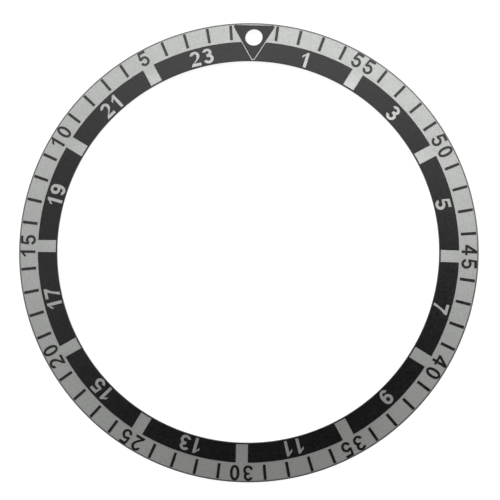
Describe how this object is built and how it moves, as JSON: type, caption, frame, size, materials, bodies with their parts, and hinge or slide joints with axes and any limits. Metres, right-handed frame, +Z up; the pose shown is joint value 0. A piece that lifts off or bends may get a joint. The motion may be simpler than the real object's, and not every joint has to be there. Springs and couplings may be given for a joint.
{
  "type": "watch bezel insert",
  "caption": "Thin conical aluminium bezel insert for a diver's watch, with a countdown minute track, an inner band of hour numerals, a triangle with a pip hole, and tape on its back.",
  "frame": {"origin": "on the axis of the ring, at the underside of the tape that the insert rests on", "axes": "+Z up along the ring's axis, out of the printed face; +Y towards the triangle and its pip hole; +X towards the minute numeral 45"},
  "size_m": [0.038, 0.038, 0.0011],
  "materials": {
    "satin_aluminium": "fine sand-blasted satin, clear anodised, slightly warm silver grey",
    "dark_band_print": "satin charcoal print, about 0.025 mm thick",
    "dark_mark_print": "satin dark grey print, about 0.025 mm thick",
    "tape": "pale double-sided tape, slightly tacky and matte"
  },
  "bodies": {
    "root": {"insert_ring": "satin_aluminium", "adhesive_ring": "tape", "inner_edge_line": "dark_band_print", "triangle_mark": "dark_band_print", "minute_marks": "dark_mark_print", "hour_field_01": "dark_band_print", "hour_field_03": "dark_band_print", "hour_field_05": "dark_band_print", "hour_field_07": "dark_band_print", "hour_field_09": "dark_band_print", "hour_field_11": "dark_band_print", "hour_field_13": "dark_band_print", "hour_field_15": "dark_band_print", "hour_field_17": "dark_band_print", "hour_field_19": "dark_band_print", "hour_field_21": "dark_band_print", "hour_field_23": "dark_band_print", "minute_numeral_05": "dark_mark_print", "minute_numeral_10": "dark_mark_print", "minute_numeral_15": "dark_mark_print", "minute_numeral_20": "dark_mark_print", "minute_numeral_25": "dark_mark_print", "minute_numeral_30": "dark_mark_print", "minute_numeral_35": "dark_mark_print", "minute_numeral_40": "dark_mark_print", "minute_numeral_45": "dark_mark_print", "minute_numeral_50": "dark_mark_print", "minute_numeral_55": "dark_mark_print"}
  },
  "joints": []
}
